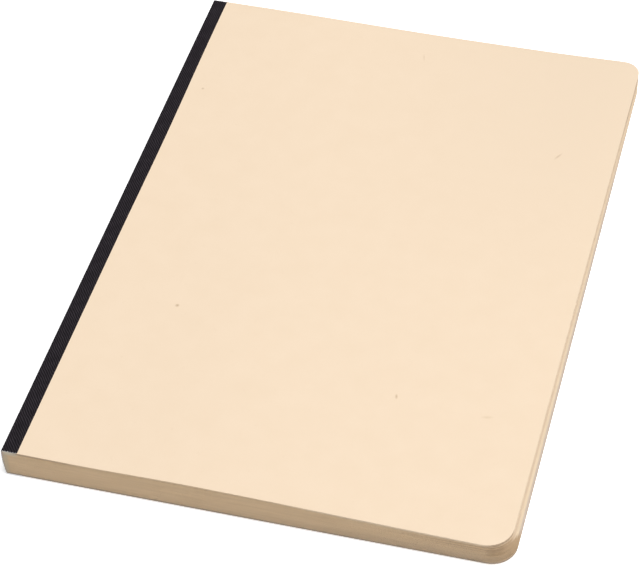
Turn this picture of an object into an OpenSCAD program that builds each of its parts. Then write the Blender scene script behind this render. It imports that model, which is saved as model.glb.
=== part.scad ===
// A5 composition notebook with a taped spine, closed and lying on its back cover.
// X runs from the spine to the fore edge, Y from the tail (near end) to the head,
// and Z up. The origin is the middle of the footprint, on the table.

/* [Book block] */
// Width of the closed book, from the tape on the spine to the fore edge
cover_w = 148; // [105:1:210]
// Height of the book, from tail to head
cover_h = 210; // [148:1:297]
// Thickness at the spine, from cover face to cover face
spine_t = 9.8; // [6:0.1:16]
// Thickness at the fore edge, where the leaves are pressed closer
fore_t = 7.8; // [5:0.1:15]
// Radius of the rounded corner where the tail meets the fore edge
corner_r = 7.5; // [2:0.5:15]
// Radius of the rounded corner where the head meets the fore edge
far_corner_r = 5.5; // [2:0.5:15]
// How far the foot of the stack has slid towards the fore edge
lean = 0.4; // [0:0.1:2]
// How much further it stands out where the tail meets the fore edge, as the leaves fan
fan = 1.2; // [0:0.1:2]

/* [Covers] */
// Thickness of one cover board
board_t = 0.6; // [0.4:0.1:1.2]
// Air between a cover board and the leaves
cover_gap = 0.1; // [0.05:0.05:0.3]

/* [Bow of the front cover] */
// Width of the strip beside the tape that still lies flat
flat_w = 13; // [5:1:20]
// Rise of the cover at the tail, where the leaves have fanned a little
tail_rise = 0.8; // [0:0.1:2]
// Distance of that rise from the spine
tail_peak = 60; // [40:1:80]
// Sag of the cover at the head
head_sag = 0.5; // [0:0.1:1.5]
// Distance of the sag from the spine
head_low = 82; // [50:1:95]
// Lift of the corner where the head meets the fore edge
corner_lift = 0.5; // [0:0.1:1.5]
// Length over which that corner curls up
corner_curl = 30; // [15:1:45]

/* [Spine] */
// Thickness of the cloth tape, which is pressed into the boards until it lies flush
tape_t = 0.2; // [0.1:0.05:0.3]
// Width of the tape on each cover
tape_w = 5; // [3:0.1:16]
// Outer radius of the tape's two folds
fold_r = 0.6; // [0.5:0.1:1.4]
// Bulge of the spine between its folds
spine_round = 0.2; // [0.1:0.05:0.6]
// Thickness of the binding glue on the back of the leaves
glue_t = 0.5; // [0.2:0.1:1]

/* [Hidden] */

// Steps of the front cover's surface across and along the book
across = 36;
along = 8;
// How far a cutting solid reaches past the book
past = 5;
// Straight pieces in each fold of the tape, in the bulge of the spine and in a corner
fold_steps = 6;
bulge_steps = 10;
corner_steps = 12;

// Slope of the front cover from the spine down to the fore edge
slope = atan((spine_t - fore_t) / cover_w);

// Centres of the two folds, seen from the tail as [x, z] from the spine
top_fold = [fold_r, spine_t - fold_r * tan(slope) - fold_r / cos(slope)];
back_fold = [fold_r + lean, fold_r];
// The bulge is an arc that both folds run into without a kink
fold_gap = norm(top_fold - back_fold);
bulge_reach = (fold_gap * fold_gap / 4 + spine_round * spine_round) / (2 * spine_round);
bulge_r = bulge_reach + fold_r;
fold_dir = (top_fold - back_fold) / fold_gap;
bulge_mid = (top_fold + back_fold) / 2 + [fold_dir[1], -fold_dir[0]] * (bulge_reach - spine_round);
bulge_turn = asin(fold_gap / 2 / bulge_reach);
bulge_face = 180 + atan2(-fold_dir[0], fold_dir[1]);

// Distance that brings the middle of the footprint to the origin
spine_x = bulge_mid[0] - bulge_r;
fore_x = cover_w + lean + fan * (1 - corner_r / cover_h);
shift_x = -(spine_x + fore_x) / 2;

// Points on an arc from angle a to angle b, as [x, z]
function arc(mid, r, a, b, steps) =
    [for (i = [0 : steps]) let (t = a + (b - a) * i / steps) mid + r * [cos(t), sin(t)]];

// Outline of the spine at a depth under the tape's outer face, from the front cover
// round to the back cover: a fold, the bulge and the other fold
function spine_line(depth) = concat(
    arc(top_fold, fold_r - depth, 90 - slope, bulge_face - bulge_turn, fold_steps),
    arc(bulge_mid, bulge_r - depth, bulge_face - bulge_turn, bulge_face + bulge_turn, bulge_steps),
    arc(back_fold, fold_r - depth, bulge_face + bulge_turn, 270, fold_steps));

// A smooth hump that starts at a, is 1 at b and ends at c
function hump(u, a, b, c) =
    u <= a || u >= c ? 0
    : u < b ? (1 - cos(180 * (u - a) / (b - a))) / 2
    : (1 + cos(180 * (u - b) / (c - b))) / 2;

// A smooth step from 0 at a to 1 at b
function ease(u, a, b) = u <= a ? 0 : u >= b ? 1 : (1 - cos(180 * (u - a) / (b - a))) / 2;

// Height of the front cover's face at a distance u from the spine, and v from the
// tail (0) to the head (1): a wedge, humped at the tail and sagging at the head
function cover_z(u, v) =
    spine_t - u * tan(slope)
    + (1 - v) * tail_rise * hump(u, tape_w + flat_w, tail_peak, cover_w)
    - v * head_sag * hump(u, tape_w + flat_w, head_low, cover_w)
    + v * v * corner_lift * ease(u, cover_w - corner_curl, cover_w);

// Edge of the tape on the front cover, and its depth there measured straight down
tape_edge = [tape_w, cover_z(tape_w, 0)];
tape_depth = [0, tape_t / cos(slope)];

// Place of a point of the trim's outline at a height: the foot of the stack has slid to the
// fore edge, and most so where the tail meets it
function slid(p, z) =
    let (far = fan * (0.5 - p[1] / cover_h) * p[0] / cover_w)
    [p[0] + (lean + far) * (1 - z / spine_t), p[1], z];

// Everything under the front cover's face, less a depth, down to below the table
module under_cover(depth) {
    xs = [for (i = [0 : across]) -past + (cover_w + 2 * past) * i / across];
    ys = [for (j = [0 : along]) -cover_h / 2 - past + (cover_h + 2 * past) * j / along];
    face = [for (y = ys) for (x = xs) [x, y, cover_z(x, 0.5 + y / cover_h) - depth]];
    foot = [for (p = face) [p[0], p[1], -past]];
    row = across + 1;
    low = len(face);
    cells = [for (j = [0 : along - 1]) for (i = [0 : across - 1]) j * row + i];
    // The grid's edge, once round and seen from above against the clock
    rim = concat(
        [for (i = [0 : across - 1]) i],
        [for (j = [0 : along - 1]) j * row + across],
        [for (i = [across : -1 : 1]) along * row + i],
        [for (j = [along : -1 : 1]) j * row]);
    polyhedron(
        points = concat(face, foot),
        faces = concat(
            [for (c = cells) [c, c + row, c + 1]],
            [for (c = cells) [c + 1, c + row, c + row + 1]],
            [for (c = cells) [low + c, low + c + 1, low + c + row]],
            [for (c = cells) [low + c + 1, low + c + row + 1, low + c + row]],
            [for (k = [0 : len(rim) - 1])
                let (a = rim[k], b = rim[(k + 1) % len(rim)]) [a, b, low + b]],
            [for (k = [0 : len(rim) - 1])
                let (a = rim[k], b = rim[(k + 1) % len(rim)]) [a, low + b, low + a]]));
}

// Sends a drawing in X and Z along the whole height of the book
module from_tail_to_head(extra = 0) {
    translate([0, cover_h / 2 + extra, 0])
        rotate([90, 0, 0])
            linear_extrude(cover_h + 2 * extra) children();
}

// The trimmed stack: three cuts and two rounded corners, from below the table to above the
// covers
module trimmed_stack() {
    half = cover_h / 2;
    straight = cover_h - corner_r - far_corner_r;
    turns = [for (i = [0 : corner_steps]) 90 * i / corner_steps];
    // Seen from above against the clock, from the tail's end of the spine
    outline = concat(
        [[-past, -half]],
        [for (t = turns)
            [cover_w - corner_r * (1 - sin(t)), -half + corner_r * (1 - cos(t))]],
        [for (j = [1 : along - 1]) [cover_w, -half + corner_r + straight * j / along]],
        [for (t = turns)
            [cover_w - far_corner_r * (1 - cos(t)), half - far_corner_r * (1 - sin(t))]],
        [[-past, half]]);
    n = len(outline);
    polyhedron(
        points = concat(
            [for (p = outline) slid(p, -past)],
            [for (p = outline) slid(p, spine_t + past)]),
        faces = concat(
            [[for (i = [0 : n - 1]) i]],
            [[for (i = [n - 1 : -1 : 0]) n + i]],
            [for (i = [0 : n - 1]) let (j = (i + 1) % n) [i, n + i, j]],
            [for (i = [0 : n - 1]) let (j = (i + 1) % n) [n + i, n + j, j]]));
}

// All that the tape wraps round: the two folds, the bulge and the beds pressed into the
// boards, each as deep as the tape is thick
module inside_tape() {
    far = cover_w + 2 * past;
    from_tail_to_head(past)
        polygon(concat(
            [[tape_w, spine_t + past], tape_edge - tape_depth],
            spine_line(tape_t),
            [[tape_w + lean, tape_t], [tape_w + lean, -past], [far, -past], [far, spine_t + past]]));
}

// The leaves' side of the glue: one arc over the whole height of the spine
module inside_glue() {
    r = bulge_r - tape_t - glue_t;
    turn = asin(spine_t / r);
    far = cover_w + 2 * past;
    from_tail_to_head(past)
        polygon(concat(
            arc(bulge_mid, r, bulge_face - turn, bulge_face + turn, 2 * bulge_steps),
            [[far, -past], [far, spine_t + past]]));
}

// The room between the two covers
module between_covers() {
    low = board_t + cover_gap;
    intersection() {
        trimmed_stack();
        under_cover(board_t + cover_gap);
        translate([-past, -cover_h / 2 - past, low])
            cube([cover_w + 3 * past, cover_h + 2 * past, spine_t + past]);
    }
}

// Flat board that the book lies on, cut flush with the leaves
module back_cover() {
    color([0.93, 0.84, 0.71])
        intersection() {
            trimmed_stack();
            inside_tape();
            translate([-past, -cover_h / 2 - past, 0])
                cube([cover_w + 3 * past, cover_h + 2 * past, board_t]);
        }
}

// All the leaves as one solid
module page_block() {
    color([0.84, 0.75, 0.63])
        intersection() {
            between_covers();
            inside_glue();
        }
}

// Layer of glue that holds the leaves together at the back
module spine_glue() {
    color([0.80, 0.77, 0.68])
        difference() {
            intersection() {
                between_covers();
                inside_tape();
            }
            inside_glue();
        }
}

// Bowed board on top, cut flush with the leaves
module front_cover() {
    color([0.96, 0.87, 0.75])
        difference() {
            intersection() {
                trimmed_stack();
                inside_tape();
                under_cover(0);
            }
            under_cover(board_t);
        }
}

// One strip of cloth, folded round the spine on to both covers
module spine_tape() {
    inner = spine_line(tape_t);
    color([0.16, 0.15, 0.17])
        from_tail_to_head()
            polygon(concat(
                [tape_edge - tape_depth, tape_edge],
                spine_line(0),
                [[tape_w + lean, 0], [tape_w + lean, tape_t]],
                [for (i = [len(inner) - 1 : -1 : 0]) inner[i]]));
}

translate([shift_x, 0, 0]) {
    back_cover();
    page_block();
    spine_glue();
    front_cover();
    spine_tape();
}
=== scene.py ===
# Looks of an A5 composition notebook with natural board covers and a taped spine.
# X runs from the spine to the fore edge, Y from the tail to the head and Z up, in metres.
import math

import bpy
import numpy as np
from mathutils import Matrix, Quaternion, Vector


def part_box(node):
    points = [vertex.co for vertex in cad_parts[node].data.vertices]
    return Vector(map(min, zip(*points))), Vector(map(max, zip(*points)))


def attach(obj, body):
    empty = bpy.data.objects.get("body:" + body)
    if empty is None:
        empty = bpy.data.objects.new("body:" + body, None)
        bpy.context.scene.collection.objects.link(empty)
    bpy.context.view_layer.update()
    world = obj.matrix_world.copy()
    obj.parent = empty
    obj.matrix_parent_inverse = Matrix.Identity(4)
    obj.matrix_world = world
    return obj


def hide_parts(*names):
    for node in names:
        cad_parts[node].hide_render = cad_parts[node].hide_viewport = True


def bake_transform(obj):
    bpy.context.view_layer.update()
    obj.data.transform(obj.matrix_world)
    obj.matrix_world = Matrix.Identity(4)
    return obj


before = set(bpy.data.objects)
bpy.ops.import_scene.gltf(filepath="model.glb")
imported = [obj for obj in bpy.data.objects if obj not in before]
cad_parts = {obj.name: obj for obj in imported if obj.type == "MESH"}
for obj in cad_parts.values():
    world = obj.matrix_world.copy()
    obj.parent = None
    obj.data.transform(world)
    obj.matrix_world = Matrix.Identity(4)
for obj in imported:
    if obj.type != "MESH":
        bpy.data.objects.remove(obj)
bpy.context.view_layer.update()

# The leaves
# About 80 sheets of uncoated cream paper, glued together at the back and trimmed on three
# sides with the covers. The trimmed faces aren't quite plane: bundles of leaves stand back
# by a hair, and towards the near corner the leaves have fanned a little.
MM = 0.001
cover_w = 148 * MM
spine_t = 9.8 * MM
fore_t = 7.8 * MM
corner_r = 7.5 * MM
far_corner_r = 5.5 * MM
lean = 0.4 * MM
fan = 1.2 * MM
board_t = 0.6 * MM
cover_gap = 0.1 * MM
tape_w = 5 * MM

# At the head the fore edge is twisted, so that its top stands this much further out than its
# foot. The twist moves nothing at this share of the way up
head_skew = 0.5 * MM
skew_still = 0.2

# How the front cover, and so the top leaf, is bowed
bow_start = tape_w + 13 * MM
tail_rise = 0.8 * MM
tail_peak = 60 * MM
head_sag = 0.5 * MM
head_low = 82 * MM
corner_lift = 0.5 * MM
corner_curl = 30 * MM

tail_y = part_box("page_block")[0].y
head_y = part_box("page_block")[1].y
cover_h = head_y - tail_y
spine_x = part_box("back_cover")[1].x - cover_w - lean - fan * (1 - corner_r / cover_h)
slope = math.atan((spine_t - fore_t) / cover_w)

# The spine's outline, seen from the tail as (u, z): two folds and a bulge that is one arc
tape_t = 0.2 * MM
fold_r = 0.6 * MM
spine_round = 0.2 * MM
glue_t = 0.5 * MM
top_fold = np.array([fold_r, spine_t - fold_r * math.tan(slope) - fold_r / math.cos(slope)])
back_fold = np.array([fold_r + lean, fold_r])
fold_gap = np.linalg.norm(top_fold - back_fold)
bulge_reach = (fold_gap ** 2 / 4 + spine_round ** 2) / (2 * spine_round)
bulge_r = bulge_reach + fold_r
fold_dir = (top_fold - back_fold) / fold_gap
bulge_mid = (top_fold + back_fold) / 2 + np.array([fold_dir[1], -fold_dir[0]]) * (bulge_reach - spine_round)
bulge_turn = math.asin(fold_gap / 2 / bulge_reach)
bulge_face = math.pi + math.atan2(-fold_dir[0], fold_dir[1])

# How deep the grooves between the leaves are, and the steps between bundles of them, which
# grow towards the near corner. Then how far the topmost leaves are tucked in, how many they
# are, and where: beside the fore edge, from so many corner radii in, and beside the fold
leaf_count = 80
bundle_leaves = 8
leaf_groove = 0.03 * MM
leaf_edge = 0.15
bundle_step = 0.045 * MM
corner_growth = 3
leaf_ripple = 0.02 * MM
tuck = 0.3 * MM
tuck_leaves = 4
tuck_start = 1.5
fold_dip_u = 12 * MM
fold_dip_w = 8 * MM

# How far from the near corner the leaves have fanned, and by what share of their height
fan_reach = 28 * MM
fan_share = 0.07

# Columns round a corner, columns and rows of the leaves' faces, and the columns from one random
# number to the next in the bundles' steps and in the leaves' ripple
corner_steps = 10
leaf_steps = 46
leaf_rows = 61
step_run = 16
ripple_run = 9

# The small inset that tells which way inward is, all round the outline
hair = 0.01 * MM

fore_colour = (0.88, 0.72, 0.53, 1)
fore_shade = (0.80, 0.64, 0.46, 1)
# Painted shade on the topmost leaves of the fore edge under the board, darker towards the head
fore_top_shade_colour = (0.74, 0.58, 0.42, 1)
fore_top_far_shade_colour = (0.62, 0.48, 0.35, 1)
# A browner copy of the leaves' colour for the tail and head: painted shade tone
shaded_end_colour = (0.86, 0.655, 0.435, 1)
shaded_end_streak_colour = (0.71, 0.53, 0.34, 1)
layer_colour = (0.56, 0.40, 0.27, 1)
layer_pitch = 0.95 * MM
worn_colour = (0.45, 0.308, 0.181, 1)
worn_reach = 12.2 * MM
# Painted shade on the lower leaves of the tail and head
low_shade_colour = (0.60, 0.46, 0.325, 1)
# Painted shade at the foot of the fore edge
foot_shade_colour = (0.66, 0.55, 0.46, 1)
glue_run_colour = (0.74, 0.66, 0.55, 1)
page_colour = (0.90, 0.82, 0.68, 1)
page_shade = (0.86, 0.77, 0.62, 1)
soaked_colour = (0.64, 0.55, 0.40, 1)


def hump(u, a, b, c):
    """Half a cosine wave up from 0 at a to 1 at b, then half a wave down to 0 at c."""
    up = (1 - np.cos(np.pi * np.clip((u - a) / (b - a), 0, 1))) / 2
    down = (1 + np.cos(np.pi * np.clip((u - b) / (c - b), 0, 1))) / 2
    return np.where(u < b, up, down)


def cover_face(u, y):
    """Height of the front cover's face, u from the spine: a wedge from the spine down to the
    fore edge, plus a hump that fades from the tail to the head, minus a sag that fades from
    the head to the tail, plus the curl of the corner at the head and fore edge."""
    v = (y - tail_y) / cover_h
    curl = hump(u, cover_w - corner_curl, cover_w, cover_w + corner_curl)
    return (spine_t - u * math.tan(slope)
            + (1 - v) * tail_rise * hump(u, bow_start, tail_peak, cover_w)
            - v * head_sag * hump(u, bow_start, head_low, cover_w)
            + v * v * corner_lift * curl)


def slid(u, y, z):
    """How far a point has slid to the fore edge. The lean grows evenly with the depth under
    the cover's face at the spine. The fan grows from the spine to the fore edge and fades
    from the tail to the head, and over the depth it rises in a quarter of a sine wave. The
    skew grows from the spine to the fore edge and with the square of the way to the head: it
    turns the top out and the foot in about the height that stays still."""
    face = cover_face(u, y)
    v = (y - tail_y) / cover_h
    belly = np.sin(np.pi / 2 * np.clip(1 - z / face, 0, 1))
    spread = fan * (1 - v) * u / cover_w
    skew = head_skew * v * v * u / cover_w * (z / face - skew_still)
    return lean * (1 - z / spine_t) + spread * (1 - face / spine_t * (1 - belly)) + skew


def knife_grid(columns, rows, inset):
    """Points of a sheet cut by the three knives, as distances u from the spine and y.
    Columns lie at the given distances, then round the near corner by even angles. Each spans
    the sheet from the tail to the head. In a corner it ends on the corner's circle, at the
    root of the radius squared less the distance from the circle's centre squared. The inset
    draws the outline in on the three cut sides."""
    turn = np.linspace(0, np.pi / 2, corner_steps + 1)[1:]
    u = np.concatenate([columns, cover_w - corner_r + (corner_r - inset) * np.sin(turn)])

    def reach(radius):
        beyond = np.maximum(u - (cover_w - radius), 0)
        return cover_h / 2 - radius + np.sqrt(np.maximum((radius - inset) ** 2 - beyond ** 2, 0))

    first = (tail_y + head_y) / 2 - reach(corner_r)
    last = (tail_y + head_y) / 2 + reach(far_corner_r)
    share = np.linspace(0, 1, rows)
    y = first[:, None] * (1 - share) + last[:, None] * share
    return np.stack([u[:, None] + 0 * share, y], axis=-1)


def rim_of(grid):
    """The edge of a grid, once round against the clock from the spine's tail end."""
    return np.concatenate([grid[:-1, 0], grid[-1, :-1], grid[:0:-1, -1], grid[0, :0:-1]])


def quads(a, b, c, d):
    """Faces from four arrays of corner numbers, in their order round each face."""
    return np.stack([a, b, c, d], axis=-1).reshape(-1, 4)


def mesh_piece(name, points, faces, uvs, finish, materials, sharp_edge=math.radians(35)):
    """An object from arrays: its points, its four-sided faces, a UV place for each corner of
    each face, and the number of each face's material. Edges turned by more than sharp_edge
    stay sharp and the rest is smooth."""
    mesh = bpy.data.meshes.new(name)
    mesh.from_pydata(points.tolist(), [], faces.tolist())
    layer = mesh.uv_layers.new(name="UVMap")
    layer.data.foreach_set("uv", uvs.astype(np.float32).ravel())
    mesh.polygons.foreach_set("material_index", finish.astype(np.int32))
    mesh.polygons.foreach_set("use_smooth", np.ones(len(faces), bool))
    mesh.set_sharp_from_angle(angle=sharp_edge)
    for material in materials:
        mesh.materials.append(material)
    mesh.update()
    piece = bpy.data.objects.new(name, mesh)
    bpy.context.scene.collection.objects.link(piece)
    return piece


def trimmed_solid(name, columns, rows, upper, lower, insets, shares, materials, back=None):
    """A closed solid between an upper and a lower face, both given as heights over (u, y).
    Its edge is a band of rows round the outline: a row lies at its share of the way down
    from the upper face to the lower one, and is drawn in by its inset. Each point then
    slides to the fore edge, and stays in front of the back, where one is given over z."""
    faces_top = knife_grid(columns, rows, float(np.max(insets[0])))
    faces_low = knife_grid(columns, rows, float(np.max(insets[-1])))
    flush = rim_of(knife_grid(columns, rows, 0))
    inward = (flush - rim_of(knife_grid(columns, rows, hair))) / hair
    around = len(flush)
    insets = np.broadcast_to(insets[1:-1], (len(insets) - 2, around))
    shares = np.broadcast_to(shares[1:-1], (len(shares) - 2, around))
    band = flush - insets[..., None] * inward
    band_z = (upper(band[..., 0], band[..., 1]) * (1 - shares)
              + lower(band[..., 0], band[..., 1]) * shares)
    plan = np.concatenate([faces_top.reshape(-1, 2), band.reshape(-1, 2), faces_low.reshape(-1, 2)])
    z = np.concatenate([upper(faces_top[..., 0], faces_top[..., 1]).ravel(), band_z.ravel(),
                        lower(faces_low[..., 0], faces_low[..., 1]).ravel()])
    x = spine_x + plan[:, 0] + slid(plan[:, 0], plan[:, 1], z)
    if back is not None:
        x = np.maximum(x, back(z))
    points = np.stack([x, plan[:, 1], z], axis=-1)

    size = faces_top.shape[:2]
    top = np.arange(size[0] * size[1]).reshape(size)
    low = top + len(points) - top.size
    ring = np.concatenate([rim_of(top)[None], top.size + np.arange(band_z.size).reshape(-1, around),
                           rim_of(low)[None]])
    after = np.roll(ring, -1, axis=1)
    face_quads = quads(top[:-1, :-1], top[1:, :-1], top[1:, 1:], top[:-1, 1:])
    back_quads = quads(low[:-1, :-1], low[:-1, 1:], low[1:, 1:], low[1:, :-1])
    edge_quads = quads(ring[:-1], ring[1:], after[1:], after[:-1])

    step = np.linalg.norm(np.diff(flush, axis=0, append=flush[:1]), axis=1)
    run = np.concatenate([[0], np.cumsum(step)])
    run_grid, next_run = run[:-1] + 0 * ring, run[1:] + 0 * ring
    depth = points[ring, 2]
    next_depth = points[after, 2]
    edge_uvs = np.stack([
        np.stack([run_grid[:-1], run_grid[1:], next_run[1:], next_run[:-1]], axis=-1),
        np.stack([depth[:-1], depth[1:], next_depth[1:], next_depth[:-1]], axis=-1)], axis=-1)
    flat_quads = np.concatenate([face_quads, back_quads])
    uvs = np.concatenate([points[flat_quads][..., :2], edge_uvs.reshape(-1, 4, 2)])
    finish = np.repeat([0, 1], [len(flat_quads), len(edge_quads)])
    return mesh_piece(name, points, np.concatenate([flat_quads, edge_quads]), uvs, finish, materials)


def ripple(rng, rows, columns, row_step, column_step):
    """Smooth noise between 0 and 1 over rows and columns: a coarse grid of random numbers,
    read between its points by smooth steps in both directions."""
    coarse = rng.random((rows // row_step + 2, columns // column_step + 2))
    r, c = np.arange(rows) / row_step, np.arange(columns) / column_step
    r0, c0 = r.astype(int), c.astype(int)
    fr, fc = (f * f * (3 - 2 * f) for f in (r - r0, c - c0))
    upper = coarse[r0][:, c0] * (1 - fc) + coarse[r0][:, c0 + 1] * fc
    lower = coarse[r0 + 1][:, c0] * (1 - fc) + coarse[r0 + 1][:, c0 + 1] * fc
    return upper * (1 - fr[:, None]) + lower * fr[:, None]


def add_node(tree, kind, inputs=None, **settings):
    """Adds a shader node. Inputs are its sockets by name or number, each with a value or the
    output of another node, and settings are the node's own properties."""
    made = tree.nodes.new("ShaderNode" + kind)
    for key, value in settings.items():
        setattr(made, key, value)
    for key, value in (inputs or {}).items():
        if isinstance(value, bpy.types.NodeSocket):
            tree.links.new(value, made.inputs[key])
        else:
            made.inputs[key].default_value = value
    return made


def reckon(tree, operation, *inputs, clamp=False):
    """The output of a Math node over the given values or sockets."""
    return add_node(tree, "Math", dict(enumerate(inputs)), operation=operation, use_clamp=clamp).outputs[0]


def blend_colours(tree, share, first, second):
    """The output of a colour mix: the first colour at share 0, the second at 1."""
    return add_node(tree, "Mix", {"Factor": share, 6: first, 7: second}, data_type="RGBA").outputs[2]


def ramp(tree, value, none, full, most=1.0):
    """A smooth mask over a value: 0 at none, and most at full."""
    return add_node(tree, "MapRange", {0: value, 1: none, 2: full, 4: most},
                    interpolation_type="SMOOTHSTEP").outputs[0]


def overlap(tree, first, second):
    """The product of two masks."""
    return reckon(tree, "MULTIPLY", first, second)


def object_place(tree):
    """Where a point of the piece is, by Object coordinates in metres."""
    return add_node(tree, "TexCoord").outputs["Object"]


def surface_place(tree):
    """Where a point is on the piece's own UV map, in metres."""
    return add_node(tree, "UVMap").outputs[0]


def new_group(name, inputs, outputs):
    """An empty node group with its named inputs, each with a default, and named outputs."""
    group = bpy.data.node_groups.new(name, "ShaderNodeTree")
    for label, default in inputs.items():
        kind = "NodeSocketVector" if default is None else "NodeSocketFloat"
        socket = group.interface.new_socket(label, in_out="INPUT", socket_type=kind)
        if default is not None:
            socket.default_value = default
    for label in outputs:
        group.interface.new_socket(label, in_out="OUTPUT", socket_type="NodeSocketFloat")
    return group, group.nodes.new("NodeGroupInput"), group.nodes.new("NodeGroupOutput")


def place_group(tree, group, inputs):
    """Places a node group in a tree, with values or sockets for its inputs."""
    made = tree.nodes.new("ShaderNodeGroup")
    made.node_tree = group
    for key, value in inputs.items():
        if isinstance(value, bpy.types.NodeSocket):
            tree.links.new(value, made.inputs[key])
        else:
            made.inputs[key].default_value = value
    return made


def new_material(name, roughness, specular):
    """A material with a Principled shader, its tree and that shader."""
    material = bpy.data.materials.new(name)
    material.use_nodes = True
    shader = material.node_tree.nodes["Principled BSDF"]
    shader.inputs["Roughness"].default_value = roughness
    shader.inputs["Specular IOR Level"].default_value = specular
    return material, material.node_tree, shader


def raise_surface(tree, shader, height, strength, distance):
    """Feeds a height through a Bump node to the shader's normal."""
    bump = add_node(tree, "Bump", {"Height": height, "Strength": strength, "Distance": distance})
    tree.links.new(bump.outputs[0], shader.inputs["Normal"])


def make_fibre_group():
    """Pulp of paper and board: cloudy mottle, fine grain and a scatter of thin fibres. A
    fibre is where one noise crosses its middle value, kept only where a second noise is high."""
    fibre_width = 0.012
    noises_apart = (0.31, 0.17, 0.05)
    group, start, end = new_group(
        "pulp fibres",
        {"Vector": None, "Cloud scale": 45, "Grain scale": 2600, "Fibre scale": 420, "Fibre share": 0.6},
        ["Cloud", "Grain", "Fibres"])

    def noise(place, scale, detail):
        inputs = {"Vector": place, "Scale": start.outputs[scale], "Detail": detail}
        return add_node(group, "TexNoise", inputs).outputs[0]

    source = start.outputs["Vector"]
    elsewhere = add_node(group, "VectorMath", {0: source, 1: noises_apart}, operation="ADD").outputs[0]
    line = noise(source, "Fibre scale", 1)
    off_middle = reckon(group, "ABSOLUTE", reckon(group, "SUBTRACT", line, 0.5))
    thin = reckon(group, "SUBTRACT", 1, reckon(group, "DIVIDE", off_middle, fibre_width), clamp=True)
    high = noise(elsewhere, "Fibre scale", 0)
    kept = reckon(group, "GREATER_THAN", high, start.outputs["Fibre share"])
    group.links.new(noise(source, "Cloud scale", 3), end.inputs["Cloud"])
    group.links.new(noise(source, "Grain scale", 2), end.inputs["Grain"])
    group.links.new(overlap(group, thin, kept), end.inputs["Fibres"])
    return group


def make_cut_group():
    """Streaks that a knife leaves along a cut edge, from a UV map in metres: a noise that is
    long along the cut and short across it. The bands are broader streaks."""
    band_squeeze = 0.17
    group, start, end = new_group(
        "knife streaks", {"Vector": None, "Along": 40, "Across": 5000}, ["Streaks", "Bands"])
    parts = add_node(group, "SeparateXYZ", {0: start.outputs["Vector"]})
    along = reckon(group, "MULTIPLY", parts.outputs[0], start.outputs["Along"])
    across = reckon(group, "MULTIPLY", parts.outputs[1], start.outputs["Across"])
    fine = add_node(group, "CombineXYZ", {0: along, 1: across})
    wide = add_node(group, "CombineXYZ", {0: along, 1: reckon(group, "MULTIPLY", across, band_squeeze)})
    for label, vector in (("Streaks", fine), ("Bands", wide)):
        noise = add_node(group, "TexNoise", {"Vector": vector.outputs[0], "Scale": 1, "Detail": 2})
        group.links.new(noise.outputs[0], end.inputs[label])
    return group


fibre_group = make_fibre_group()
cut_group = make_cut_group()

page_paper, tree, shader = new_material("page paper", roughness=0.9, specular=0.2)
pulp = place_group(
    tree, fibre_group, {"Vector": object_place(tree), "Cloud scale": 60, "Fibre share": 0.72})
tone = blend_colours(tree, pulp.outputs["Cloud"], page_colour, page_shade)
tree.links.new(tone, shader.inputs["Base Color"])
raise_surface(tree, shader, pulp.outputs["Grain"], strength=0.15, distance=0.02 * MM)

# Where each tone of the leaves' edges starts, and where it is full
corner_x = spine_x + cover_w - corner_r
dull_y = (-0.3 * cover_h, 0.4 * cover_h)
far_y = (0.28 * cover_h, 0.42 * cover_h)
tucked_shade_z = (5.0 * MM, 5.9 * MM)
foot_shade_z = (3.8 * MM, 2.0 * MM)
foot_shade_y = (0.45 * cover_h, 0.2 * cover_h)
low_shade_z = (5.5 * MM, 0.5 * MM)
low_shade_x = (-0.2 * cover_w, 0.4 * cover_w)
worn_x = (corner_x, corner_x + corner_r)
bruise_x = (corner_x + 1.2 * MM, corner_x + 2.6 * MM)
bruise_end_x = (corner_x + 7.2 * MM, corner_x + 5.0 * MM)
bruise_z = (2.4 * MM, 3.8 * MM)
fanned_x = (corner_x - fan_reach, corner_x)
fanned_z = (3.6 * MM, 5.6 * MM)
# Painted highlight on the top leaves near the corner
lit_band_x = (10 * MM, 30 * MM)
lit_band_z = (6.65 * MM, 6.85 * MM)
worn_end = (tail_y + worn_reach + 5.4 * MM, tail_y + worn_reach + 2.0 * MM)
head_end_y = (head_y - far_corner_r, head_y - 0.2 * far_corner_r)
soaked_x = (spine_x + 2.4 * MM, spine_x + 1.2 * MM)
run_x = (spine_x + 1.1 * tape_w, spine_x + 0.8 * tape_w)
run_z = (7.9 * MM, 8.8 * MM)

# How strong each of them is there, from none at 0 to its own colour at 1. The layers' strength
# swings about its middle
dull_most = 0.5
low_shade_least = 0.2
low_shade_most = 0.75
worn_most = 0.75
bruise_most = 0.3
layer_middle = 0.30
layer_swing = 0.32
lit_band_most = 0.38
soaked_most = 0.65
run_most = 0.8

# How the knife's streaks dull the edges, bend the layers and fray the worn corner's end. Then
# the height that this end loses for each length along the fore edge, and the top leaf's fall
# for each length towards the near corner
band_weight = 1.1
streak_weight = 0.5
dull_start = 0.45
layer_waver = 3
worn_waver = 5 * MM
worn_lean = 1.3
top_fall = 0.0245

# The tail and head get a browner copy of the leaves' colour: painted warmth of their shade
leaf_edges, tree, shader = new_material("leaf edges", roughness=0.95, specular=0.1)
cut = place_group(tree, cut_group, {"Vector": surface_place(tree), "Along": 60, "Across": 6000})
bands = cut.outputs["Bands"]
streaks = cut.outputs["Streaks"]
x, y, z = add_node(tree, "SeparateXYZ", {0: object_place(tree)}).outputs
dull = reckon(tree, "MULTIPLY_ADD", bands, band_weight, reckon(tree, "MULTIPLY", streaks, streak_weight))
dull = reckon(tree, "SUBTRACT", dull, dull_start, clamp=True)

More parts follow.
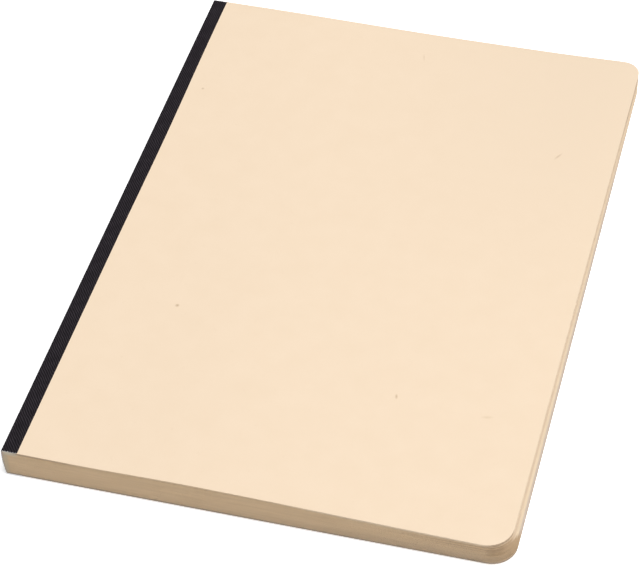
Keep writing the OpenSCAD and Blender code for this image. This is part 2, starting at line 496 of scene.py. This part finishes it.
# The topmost leaves of the fore edge lie drawn in under the board, and the shade there is
# painted on as a browner tone. The lowest ones are painted grey: painted shade at the foot.
fore_dull = reckon(tree, "ADD", dull, ramp(tree, y, *dull_y, dull_most), clamp=True)
fore_tone = blend_colours(tree, fore_dull, fore_colour, fore_shade)
top_shade_tone = blend_colours(tree, ramp(tree, y, *far_y), fore_top_shade_colour, fore_top_far_shade_colour)
fore_tone = blend_colours(tree, ramp(tree, z, *tucked_shade_z), fore_tone, top_shade_tone)
# Painted shade: the fore edge turns grey towards its foot
foot_shade = overlap(tree, ramp(tree, z, *foot_shade_z), ramp(tree, y, *foot_shade_y))
fore_tone = blend_colours(tree, foot_shade, fore_tone, foot_shade_colour)

# The lower leaves of the tail and head are painted darker, most so towards the fore edge:
# painted shade towards the foot
end_tone = blend_colours(tree, dull, shaded_end_colour, shaded_end_streak_colour)
low_shade = add_node(tree, "MapRange", {0: x, 1: low_shade_x[0], 2: low_shade_x[1], 3: low_shade_least, 4: low_shade_most})
low_shade = overlap(tree, ramp(tree, z, *low_shade_z), low_shade.outputs[0])
end_tone = blend_colours(tree, low_shade, end_tone, low_shade_colour)

# The near corner is worn dark, and most so in a bruise on its upper leaves
at_tail = ramp(tree, y, 0, tail_y)
worn = add_node(tree, "MapRange", {0: x, 1: worn_x[0], 2: worn_x[1], 4: worn_most}).outputs[0]
bruise = overlap(tree, ramp(tree, x, *bruise_x), ramp(tree, x, *bruise_end_x))
bruise = overlap(tree, bruise, ramp(tree, z, *bruise_z, bruise_most))
worn = overlap(tree, reckon(tree, "ADD", worn, bruise), at_tail)
end_tone = blend_colours(tree, worn, end_tone, worn_colour)

# Where the leaves have fanned at the corner, shadows part the upper ones into layers
layer = reckon(tree, "MULTIPLY", z, math.tau / layer_pitch)
layer = reckon(tree, "SINE", reckon(tree, "MULTIPLY_ADD", bands, layer_waver, layer))
fanned = overlap(tree, ramp(tree, x, *fanned_x), ramp(tree, z, *fanned_z))
layer = overlap(tree, fanned, reckon(tree, "MULTIPLY_ADD", layer, layer_swing, layer_middle))
end_tone = blend_colours(tree, layer, end_tone, layer_colour)

# Right under the board the top leaves towards the corner are painted pale: a painted highlight
# where they catch the light
over = reckon(tree, "MULTIPLY_ADD", x, top_fall, z)
over = reckon(tree, "SUBTRACT", over, top_fall * corner_x)
lit_band = overlap(tree, ramp(tree, x, *lit_band_x), ramp(tree, over, *lit_band_z, lit_band_most))
end_tone = blend_colours(tree, overlap(tree, lit_band, at_tail), end_tone, fore_colour)

# The worn tone reaches further along the fore edge at the foot than at the top
worn_way = reckon(tree, "MULTIPLY_ADD", z, worn_lean, y)
worn_way = reckon(tree, "MULTIPLY_ADD", bands, worn_waver, worn_way)
ends = reckon(tree, "MAXIMUM", ramp(tree, worn_way, *worn_end), ramp(tree, y, *head_end_y))
tone = blend_colours(tree, ends, fore_tone, end_tone)

# Beside the spine the leaves are soaked with glue, which has run down a little at the top
tone = blend_colours(tree, ramp(tree, x, *soaked_x, soaked_most), tone, soaked_colour)
run_down = overlap(tree, ramp(tree, x, *run_x), ramp(tree, z, *run_z, run_most))
tone = blend_colours(tree, run_down, tone, glue_run_colour)
tree.links.new(tone, shader.inputs["Base Color"])
raise_surface(tree, shader, streaks, strength=0.3, distance=0.03 * MM)


def leaf_top(u, y):
    """Upper face of the leaves: the cover's face less the board and the air under it."""
    return cover_face(u, y) - board_t - cover_gap


def leaf_foot(u, y):
    """Lower face of the leaves, flat on the back cover."""
    return board_t + cover_gap + 0 * u


def glue_face(z):
    """The glue's inner face, as x over z: an arc about the bulge's centre, the tape and the
    glue deep."""
    return spine_x + bulge_mid[0] - np.sqrt((bulge_r - tape_t - glue_t) ** 2 - (z - bulge_mid[1]) ** 2)


leaf_columns = np.linspace(tape_t, cover_w - corner_r, leaf_steps)
rim = rim_of(knife_grid(leaf_columns, leaf_rows, 0))
near_corner = np.exp(-((rim[:, 0] - cover_w) ** 2 + (rim[:, 1] - tail_y) ** 2) / fan_reach ** 2)
rng = np.random.default_rng(11)
bundles = ripple(rng, leaf_count // bundle_leaves, len(rim), 1, step_run)
steps = np.repeat(bundles, bundle_leaves, axis=0)
# The topmost leaves are tucked in under the board at the fore edge and beside the fold
tucked = (np.clip((rim[:, 0] - cover_w) / corner_r + tuck_start, 0, 1)
          + np.exp(-((rim[:, 0] - fold_dip_u) / fold_dip_w) ** 2))
stand_back = (bundle_step * steps * (1 + corner_growth * near_corner)
              + leaf_ripple * ripple(rng, leaf_count, len(rim), 1, ripple_run)
              + tuck * np.exp(-np.arange(leaf_count) / tuck_leaves)[:, None] * tucked)
# Each leaf is three rows of the edge: the groove above it, its upper and its lower corner
leaf_insets = np.stack([stand_back + leaf_groove, stand_back, stand_back], axis=1)
leaf_insets = leaf_insets.reshape(-1, len(rim))
leaf_shares = np.arange(leaf_count)[:, None] + [0, leaf_edge, 1 - leaf_edge]
leaf_shares = (leaf_shares.ravel() / leaf_count)[:, None]
leaf_shares = leaf_shares - fan_share * near_corner * np.sin(np.pi * leaf_shares)
foot = np.ones((1, len(rim)))
leaves = trimmed_solid(
    "leaves", leaf_columns, leaf_rows, leaf_top, leaf_foot,
    np.concatenate([leaf_insets, leaf_groove * foot]), np.concatenate([leaf_shares, foot]),
    [page_paper, leaf_edges], back=glue_face)
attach(leaves, "leaves")
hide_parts("page_block")

# The binding glue
# A layer of dispersion glue brushed on the back of the leaves, which dries to a tough skin
# under the tape. Its cut ends show as a narrow grey-brown strip at the tail and the head.
glue_colour = (0.61, 0.50, 0.39, 1)
glue_shade = (0.50, 0.41, 0.32, 1)

glue, tree, shader = new_material("binding glue", roughness=0.5, specular=0.4)
lumps = add_node(tree, "TexNoise", {"Vector": object_place(tree), "Scale": 1400, "Detail": 3}).outputs[0]
tree.links.new(blend_colours(tree, lumps, glue_colour, glue_shade), shader.inputs["Base Color"])
raise_surface(tree, shader, lumps, strength=0.5, distance=0.06 * MM)
glue_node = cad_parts["spine_glue"]
glue_node.data.materials.clear()
glue_node.data.materials.append(glue)

# The back cover board
# A sheet of flexible natural board, cut flush with the leaves. The tape is pressed into its
# outer face, and its edge at the spine is crushed round by the fold.
board_bevel = 0.05 * MM
board_colour = (0.955, 0.775, 0.586, 1)
board_shade = (0.915, 0.730, 0.535, 1)
fibre_colour = (0.80, 0.61, 0.42, 1)
cut_colour = (0.83, 0.645, 0.44, 1)
cut_shade = (0.73, 0.555, 0.375, 1)
fore_cut_colour = (0.86, 0.70, 0.52, 1)
clean_cut_colour = (0.955, 0.79, 0.60, 1)
soiled_cut_colour = (0.55, 0.41, 0.28, 1)
# Painted shade towards the far corner of the boards' faces
far_shade_colour = (0.905, 0.733, 0.55, 1)
# Painted shade where the back board's edge meets the table
contact_shade_colour = (0.46, 0.36, 0.27, 1)
# Painted shade on the boards' cut edges near the fold
fold_shade_colour = (0.60, 0.45, 0.31, 1)
smear_colour = (0.80, 0.71, 0.56, 1)

# Where each tone of the boards starts and where it is full, and how strong some of them are
far_shade_x = (-0.2 * cover_w, cover_w / 2)
far_shade_y = (-0.2 * cover_h, head_y)
fold_shade_x = (spine_x + 30 * MM, spine_x + 12 * MM)
smear_x = (spine_x + tape_w, spine_x + 0.6 * tape_w)
clean_x = (0, 25 * MM)
soiled_x = (corner_x, corner_x + 4 * MM)
fore_cut_y = (head_y - 0.7 * corner_r, head_y - 1.1 * corner_r)
contact_shade_z = (2 * board_t, board_t)
cloud_most = 0.8
fibre_most = 0.12
clean_most = 0.6
fibre_rise = 0.4


def dent(u, bed_w):
    """Depth of a board's outer face under the tape's: none beyond the tape's bed, the tape's
    thickness in it, and round the fold the drop of its inner circle."""
    inner = fold_r - tape_t
    fold_drop = fold_r - np.sqrt(np.maximum(inner ** 2 - np.maximum(fold_r - u, 0) ** 2, 0))
    return np.where(u > bed_w, 0, fold_drop)


def make_board_material(marks=()):
    """Uncoated natural board: a pale tone with faint clouds, a few darker fibres and a fine
    grain, and on the front cover the marks that its face shows."""
    material, tree, shader = new_material("natural board", roughness=0.88, specular=0.25)
    place = object_place(tree)
    pulp = place_group(tree, fibre_group, {"Vector": place, "Cloud scale": 130})
    clouds = reckon(tree, "MULTIPLY", pulp.outputs["Cloud"], cloud_most)
    fibres = reckon(tree, "MULTIPLY", pulp.outputs["Fibres"], fibre_most)
    tone = blend_colours(tree, clouds, board_colour, board_shade)
    tone = blend_colours(tree, fibres, tone, fibre_colour)
    # The far corner is painted a shade duller: painted shade that evens out the lamp's stronger light there
    x, y = add_node(tree, "SeparateXYZ", {0: place}).outputs[:2]
    far_shade = overlap(tree, ramp(tree, x, *far_shade_x), ramp(tree, y, *far_shade_y))
    tone = blend_colours(tree, far_shade, tone, far_shade_colour)
    for group, values, colour, strength in marks:
        mark = place_group(tree, group, {"Vector": place, **values})
        seen = reckon(tree, "MULTIPLY", mark.outputs["Mark"], strength)
        tone = blend_colours(tree, seen, tone, colour)
    tree.links.new(tone, shader.inputs["Base Color"])
    height = reckon(tree, "MULTIPLY_ADD", pulp.outputs["Fibres"], fibre_rise, pulp.outputs["Grain"])
    raise_surface(tree, shader, height, strength=0.2, distance=0.03 * MM)
    return material


board_edge, tree, shader = new_material("cut board", roughness=0.95, specular=0.1)
cut = place_group(tree, cut_group, {"Vector": surface_place(tree), "Along": 150, "Across": 9000})
streaks = cut.outputs["Streaks"]
x, y, z = add_node(tree, "SeparateXYZ", {0: object_place(tree)}).outputs
tone = blend_colours(tree, streaks, cut_colour, cut_shade)
# Near the fold it is painted darker, a painted shade, and it is pale where the tape's glue ran on
tone = blend_colours(tree, ramp(tree, x, *fold_shade_x), tone, fold_shade_colour)
tone = blend_colours(tree, ramp(tree, x, *smear_x), tone, smear_colour)
# Towards the near corner the tail's edge is a cleaner, paler cut, and hands have soiled the
# corner itself
at_tail = ramp(tree, y, 0, tail_y)
clean = overlap(tree, ramp(tree, x, *clean_x, clean_most), at_tail)
tone = blend_colours(tree, clean, tone, clean_cut_colour)
soiled = overlap(tree, ramp(tree, x, *soiled_x), at_tail)
tone = blend_colours(tree, soiled, tone, soiled_cut_colour)
at_fore_edge = ramp(tree, reckon(tree, "ABSOLUTE", y), *fore_cut_y)
tone = blend_colours(tree, at_fore_edge, tone, fore_cut_colour)
# The back cover's edge is painted darker at its foot: painted shade where it meets the table
tone = blend_colours(tree, ramp(tree, z, *contact_shade_z), tone, contact_shade_colour)
tree.links.new(tone, shader.inputs["Base Color"])
raise_surface(tree, shader, streaks, strength=0.5, distance=0.05 * MM)


def board_inner_back(u, y):
    """The back board's inner face, on which the leaves lie."""
    return board_t + 0 * u


def board_outer_back(u, y):
    """The back board's outer face, dented for the tape."""
    return dent(u, tape_w)


# Columns round the crushed edge, which starts so many degrees round the fold, then columns of
# the tape's bed and of the face. The bed ends in a narrow step
crush_degrees = 50
crush_steps = 8
bed_steps = 6
step_edge = 0.02 * MM
face_steps = 60
board_rows = 81
bevel_steps = 4
crush = np.radians(np.linspace(crush_degrees, 0, crush_steps))


def board_columns(bed_w):
    """Distances of a board's columns from the spine, close together round the fold."""
    return np.concatenate([
        fold_r - (fold_r - tape_t) * np.sin(crush),
        np.linspace(fold_r, bed_w - step_edge, bed_steps)[1:],
        np.linspace(bed_w + step_edge, cover_w - corner_r, face_steps)])


bevel_turn = np.linspace(0, np.pi / 2, bevel_steps)
bevel_in = board_bevel * (1 - np.sin(bevel_turn))
bevel_down = board_bevel / board_t * (1 - np.cos(bevel_turn))
board_insets = np.concatenate([bevel_in, bevel_in[::-1]])[:, None]
board_shares = np.concatenate([bevel_down, 1 - bevel_down[::-1]])[:, None]
back_board = trimmed_solid(
    "back_board", board_columns(tape_w), board_rows, board_inner_back, board_outer_back,
    board_insets, board_shares, [make_board_material(), board_edge])
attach(back_board, "back_board")
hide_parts("back_cover")

# The front cover board
# The same board, bowed by the leaves under it: it rises at the tail, sags at the head, and
# its far corner curls up. Its face carries a few specks and fibres from the pulp.

# The tape's edge wanders, so its bed here is a little narrower than the tape
front_bed = tape_w - 0.3 * MM
speck_colour = (0.62, 0.44, 0.27, 1)
streak_colour = (0.80, 0.62, 0.42, 1)


def make_speck_group():
    """A speck on the board: a soft-edged ellipse round its centre, turned by its angle. The
    mark is 1 less the distance from the centre, measured in lengths along and widths across."""
    group, start, end = new_group(
        "speck", {"Vector": None, "X": 0, "Y": 0, "Length": MM, "Width": MM, "Turn": 0}, ["Mark"])

    def times(first, second):
        return reckon(group, "MULTIPLY", first, second)

    parts = add_node(group, "SeparateXYZ", {0: start.outputs["Vector"]})
    dx = reckon(group, "SUBTRACT", parts.outputs[0], start.outputs["X"])
    dy = reckon(group, "SUBTRACT", parts.outputs[1], start.outputs["Y"])
    cosine = reckon(group, "COSINE", start.outputs["Turn"])
    sine = reckon(group, "SINE", start.outputs["Turn"])
    along = reckon(group, "ADD", times(dx, cosine), times(dy, sine))
    beside = reckon(group, "SUBTRACT", times(dy, cosine), times(dx, sine))
    a = reckon(group, "DIVIDE", along, start.outputs["Length"])
    b = reckon(group, "DIVIDE", beside, start.outputs["Width"])
    away = reckon(group, "SQRT", reckon(group, "ADD", times(a, a), times(b, b)))
    mark = reckon(group, "SUBTRACT", 1, away, clamp=True)
    group.links.new(mark, end.inputs["Mark"])
    return group


def board_outer_front(u, y):
    """The front board's outer face, dented for the tape."""
    return cover_face(u, y) - dent(u, front_bed)


def board_inner_front(u, y):
    """The front board's inner face, a board's thickness down."""
    return cover_face(u, y) - board_t


speck_group = make_speck_group()
# Each speck: its distances from the spine and from the tail, half its length and half its
# width in millimetres, its angle in degrees, its strength and its colour
specks = [
    (31.9, 67.2, 0.8, 0.8, 0, 1.0, speck_colour),
    (105.0, 47.2, 1.2, 0.5, 104, 0.85, speck_colour),
    (130.4, 159.6, 2.3, 0.5, 60, 0.6, speck_colour),
    (10.0, 164.6, 0.6, 0.6, 0, 0.75, speck_colour),
    (132.3, 45.8, 2.1, 0.7, 14, 0.67, streak_colour),
    (77.3, 197.5, 2.2, 0.4, 104, 0.36, speck_colour),
]
speck_marks = [
    (speck_group,
     {"X": spine_x + x * MM, "Y": tail_y + y * MM, "Length": length * MM, "Width": width * MM,
      "Turn": math.radians(turn)}, colour, strength)
    for x, y, length, width, turn, strength, colour in specks]
front_board = trimmed_solid(
    "front_board", board_columns(front_bed), board_rows, board_outer_front, board_inner_front,
    board_insets, board_shares, [make_board_material(speck_marks), board_edge])
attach(front_board, "front_board")
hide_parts("front_cover")

# The cloth tape
# One strip of black twill, glued round the spine and nipped flush into both boards. It is
# made as two halves that meet at the middle of the spine. The knife leaves its ends ragged:
# the dyed yarns break off short of the grey backing.
cloth_step = 0.15 * MM
cloth_proud = 0.05 * MM
backing_depth = 0.07 * MM

# At a ragged end the backing shows over this least length, and over up to a tooth's depth more.
# A short tooth has this share of that depth, and the yarns rise from the backing over the bite
tooth_pitch = 0.8 * MM
tooth_least = 0.02 * MM
tooth_depth = 0.45 * MM
tooth_short = 0.5
tooth_bite = 0.04 * MM

# Between the ends the strip has even rows, from this margin on. Its long edge is rolled down by
# the press over a narrow reach, and strays from a straight line by this wander
end_margin = 1.5 * MM
tape_rows = 71
roll_down = 0.05 * MM
roll_reach = 0.2 * MM
edge_wander = 0.2 * MM

# The twill's ribs lean by this angle and waver a little. The yarns that cross them rise and
# sink by a share of a rib's height
twill_pitch = 0.7 * MM
twill_angle = math.radians(52)
rib_waver = 5.0
yarn_pitch = 0.3 * MM
yarn_rise = 0.2

yarn_colour = (0.009, 0.0072, 0.0092, 1)
# The lighter yarn colour is a painted sheen on the raised ribs
yarn_sheen_colour = (0.079, 0.068, 0.079, 1)
backing_colour = (0.54, 0.51, 0.49, 1)
backing_shade = (0.34, 0.32, 0.31, 1)

# The tape's edge strays out and then in: where each way starts, is full and ends, as shares of
# the way from the tail to the head
stray_out = (0.42, 0.64, 0.85)
stray_in = (0.72, 0.94, 1.2)


def section_line(way, fold_mid, flat_angle, flat_end):
    """One half of the tape's outer line, as points (u, z) and their outward normals: an arc
    of the bulge from the middle of the spine, the arc of the fold, and a straight flange
    that ends at flat_end. Way is -1 towards the front cover and 1 towards the back one."""
    kink = bulge_face + way * bulge_turn

    def arc(centre, radius, first, last):
        steps = max(2, round(abs(last - first) * radius / cloth_step))
        angle = np.linspace(first, last, steps + 1)
        normal = np.stack([np.cos(angle), np.sin(angle)], axis=-1)
        return centre + radius * normal, normal

    bulge, bulge_out = arc(bulge_mid, bulge_r, bulge_face, kink)
    fold, fold_out = arc(fold_mid, fold_r, kink, flat_angle)
    steps = round(np.linalg.norm(flat_end - fold[-1]) / cloth_step)
    flat = fold[-1] + np.linspace(0, 1, steps + 1)[1:, None] * (flat_end - fold[-1])
    flat_out = np.broadcast_to(fold_out[-1], flat.shape)
    return (np.concatenate([bulge, fold[1:], flat]),
            np.concatenate([bulge_out, fold_out[1:], flat_out]))


def wander(v):
    """How far the tape's edge strays from a straight line, v from the tail to the head: a
    hump outwards, then one inwards."""
    return edge_wander * (hump(v, *stray_out) - hump(v, *stray_in))


def carried_tape(name, line, out, proud, stray, way, seed, materials):
    """A half of the tape: its section carried from the tail to the head. The section's outer
    line stands proud of the boards, the inner one lies a tape's thickness deep, and at both
    ends a row of teeth separates the yarns from the backing that sticks out under them. Its
    long edge strays by the given share of the wander."""
    rng = np.random.default_rng(seed)
    run = np.concatenate([[0], np.cumsum(np.linalg.norm(np.diff(line, axis=0), axis=1))])
    tooth = run / tooth_pitch

    def ragged():
        peaks = rng.uniform(tooth_short, 1, int(tooth[-1]) + 2)
        share = 1 - 2 * abs(tooth % 1 - 0.5)
        return tooth_least + tooth_depth * share * peaks[tooth.astype(int)]

    tail_teeth, head_teeth = ragged(), ragged()
    rest = np.linspace(end_margin, cover_h - end_margin, tape_rows)
    outer_y = np.stack([0 * run, tail_teeth, tail_teeth + tooth_bite]
                       + [y + 0 * run for y in rest]
                       + [cover_h - head_teeth - tooth_bite, cover_h - head_teeth, cover_h + 0 * run])
    last = len(outer_y) - 1
    depth = np.full(outer_y.shape, -float(proud))
    depth[[0, 1, last - 1, last]] = backing_depth
    # The long edge is rolled down a little by the press
    depth += roll_down * np.clip(1 - (run[-1] - run) / roll_reach, 0, 1)
    inner_y = np.interp(np.arange(last + 1), [0, last], [0, cover_h])
    flange = np.clip((line[:, 0] - 2 * fold_r) / (tape_w - 2 * fold_r), 0, 1)
    stretch = stray * wander(outer_y / cover_h) * flange
    outer = line - depth[..., None] * out + stretch[..., None] * [1, 0]
    inner = line - np.full(depth.shape, tape_t)[..., None] * out
    ring_points = np.concatenate([outer, inner[:, ::-1]], axis=1)
    ring_y = np.concatenate([outer_y, np.broadcast_to(inner_y[:, None], outer_y.shape)], axis=1)
    points = np.stack([spine_x + ring_points[..., 0], tail_y + ring_y, ring_points[..., 1]], axis=-1)

    around = points.shape[1]
    ring = np.arange((last + 1) * around).reshape(last + 1, around)
    after = np.roll(ring, -1, axis=1)
    sides = quads(ring[:-1], ring[1:], after[1:], after[:-1])
    half = around // 2
    near, far = ring[0], ring[-1]
    tail_cap = quads(near[:half - 1], near[1:half], near[::-1][1:half], near[::-1][:half - 1])
    head_cap = quads(far[:half - 1], far[::-1][:half - 1], far[::-1][1:half], far[1:half])
    faces = np.concatenate([sides, tail_cap, head_cap])
    if way < 0:
        faces = faces[:, ::-1]
    place = np.concatenate([run, run[::-1]])
    flat_map = np.stack([place + 0 * ring_y, ring_y], axis=-1).reshape(-1, 2)
    row = np.repeat(np.arange(last), around)
    inside = np.tile(np.arange(around) >= half - 1, last)
    grey = inside | (row == 0) | (row == last - 1)
    finish = np.concatenate([grey, np.ones(len(tail_cap) + len(head_cap), bool)])
    return mesh_piece(name, points.reshape(-1, 3), faces, flat_map[faces], finish, materials)


twill, tree, shader = new_material("black twill", roughness=0.8, specular=0.06)
across, lengthwise = add_node(tree, "SeparateXYZ", {0: surface_place(tree)}).outputs[:2]
across_phase = reckon(tree, "MULTIPLY", across, math.sin(twill_angle) * math.tau / twill_pitch)
lengthwise_phase = reckon(tree, "MULTIPLY", lengthwise, math.cos(twill_angle) * math.tau / twill_pitch)
phase = reckon(tree, "ADD", across_phase, lengthwise_phase)
waver = add_node(tree, "TexNoise", {"Vector": surface_place(tree), "Scale": 500, "Detail": 1})
phase = reckon(tree, "MULTIPLY_ADD", waver.outputs[0], rib_waver, phase)
# A rib is a sine wave brought to between 0 and 1, and squared
rib = reckon(tree, "MULTIPLY_ADD", reckon(tree, "SINE", phase), 0.5, 0.5)
rib = reckon(tree, "MULTIPLY", rib, rib)
yarn = reckon(tree, "SINE", reckon(tree, "MULTIPLY", lengthwise, math.tau / yarn_pitch))
rise = reckon(tree, "MULTIPLY", rib, reckon(tree, "MULTIPLY_ADD", yarn, yarn_rise, 1 - yarn_rise))
# Painted sheen: the raised ribs are painted lighter, broken up by slubs
slub = add_node(tree, "TexNoise", {"Vector": surface_place(tree), "Scale": 350, "Detail": 4})
painted_rib_sheen = reckon(tree, "MULTIPLY", rise, slub.outputs[0])
tree.links.new(blend_colours(tree, painted_rib_sheen, yarn_colour, yarn_sheen_colour), shader.inputs["Base Color"])
raise_surface(tree, shader, rise, strength=0.5, distance=0.06 * MM)

backing, tree, shader = new_material("tape backing", roughness=0.9, specular=0.2)
frayed = add_node(tree, "TexNoise", {"Vector": object_place(tree), "Scale": 3500, "Detail": 2}).outputs[0]
tone = blend_colours(tree, frayed, backing_colour, backing_shade)
tree.links.new(tone, shader.inputs["Base Color"])
raise_surface(tree, shader, frayed, strength=0.6, distance=0.05 * MM)

front_line, front_out = section_line(
    -1, top_fold, math.pi / 2 - slope, np.array([tape_w, spine_t - tape_w * math.tan(slope)]))
tape_front = carried_tape(
    "tape_front", front_line, front_out, proud=cloth_proud, stray=1, way=-1, seed=3,
    materials=[twill, backing])
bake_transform(tape_front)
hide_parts("spine_tape")

back_line, back_out = section_line(1, back_fold, 1.5 * math.pi, np.array([tape_w + lean, 0]))
tape_back = carried_tape(
    "tape_back", back_line, back_out, proud=0, stray=0, way=1, seed=4, materials=[twill, backing])
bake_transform(tape_back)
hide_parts("spine_tape")

# The table
# A plain white surface under the book, a board's thickness down, because the back cover
# opens on to it. What the camera sees of it is lifted to white, fully so away from the
# book, and round the book it still takes its soft shadow.
table_colour = (0.9, 0.9, 0.9, 1)
table_drop = 0.65 * MM
table_lift = 0.66
table_reach = 4.0
shadow_reach = 0.3


def make_table():
    """A square of four corners, wide enough to pass every view's edge."""
    corners = np.array([[-1, -1], [1, -1], [1, 1], [-1, 1]]) * table_reach
    mesh = bpy.data.meshes.new("table")
    mesh.from_pydata(np.c_[corners, np.full(4, -table_drop)].tolist(), [], [(0, 1, 2, 3)])
    table = bpy.data.objects.new("table", mesh)
    bpy.context.scene.collection.objects.link(table)
    return table


white_table, tree, shader = new_material("white table", roughness=1.0, specular=0.0)
shader.inputs["Base Color"].default_value = table_colour
shader.inputs["Emission Color"].default_value = (1, 1, 1, 1)
seen = add_node(tree, "LightPath").outputs["Is Camera Ray"]
away = add_node(tree, "VectorMath", {0: object_place(tree)}, operation="LENGTH").outputs["Value"]
lift = add_node(
    tree, "MapRange", {0: away, 1: shadow_reach, 2: 3 * shadow_reach, 3: table_lift, 4: 1}).outputs[0]
tree.links.new(reckon(tree, "MULTIPLY", seen, lift), shader.inputs["Emission Strength"])
table = make_table()
table.data.materials.append(white_table)

# Light and camera
# One large soft lamp from above and the right, and an even fill from all round. The camera
# stands where a fit to the cover's, the foot's and the spine's edges puts it.
lamp_way = Vector((0.33, -0.05, 0.94)).normalized()
lamp_away = 3.0
lamp_side = 1.8
lamp_watts = 84
fill_level = 0.2
camera_place = Vector((151.6, -515.4, 533.7)) * MM
camera_aim = Vector((-3.32, -18.83, 9.0)) * MM
camera_roll = math.radians(-3.03)
camera_lens = 136.7
camera_sensor = 36

lamp_data = bpy.data.lights.new("soft lamp", "AREA")
lamp_data.size = lamp_side
lamp_data.energy = lamp_watts
lamp = bpy.data.objects.new("soft lamp", lamp_data)
lamp.location = lamp_way * lamp_away
lamp.rotation_mode = "QUATERNION"
lamp.rotation_quaternion = lamp_way.to_track_quat("Z", "Y")
bpy.context.scene.collection.objects.link(lamp)

world = bpy.data.worlds.new("studio")
world.use_nodes = True
bpy.context.scene.world = world
rays = add_node(world.node_tree, "LightPath").outputs
shown = reckon(world.node_tree, "MAXIMUM", rays["Is Camera Ray"],
               reckon(world.node_tree, "MAXIMUM", rays["Is Glossy Ray"], rays["Is Transmission Ray"]))
level = reckon(world.node_tree, "MULTIPLY_ADD", shown, 1 - fill_level, fill_level)
background = world.node_tree.nodes["Background"]
background.inputs["Color"].default_value = (1, 1, 1, 1)
world.node_tree.links.new(level, background.inputs["Strength"])

camera_data = bpy.data.cameras.new("camera")
camera_data.lens = camera_lens
camera_data.sensor_width = camera_sensor
camera = bpy.data.objects.new("camera", camera_data)
camera.location = camera_place
camera.rotation_mode = "QUATERNION"
camera.rotation_quaternion = ((camera_aim - camera_place).to_track_quat("-Z", "Y")
                              @ Quaternion((0, 0, 1), camera_roll))
bpy.context.scene.collection.objects.link(camera)
bpy.context.scene.camera = camera
bpy.context.scene.view_settings.view_transform = "Standard"
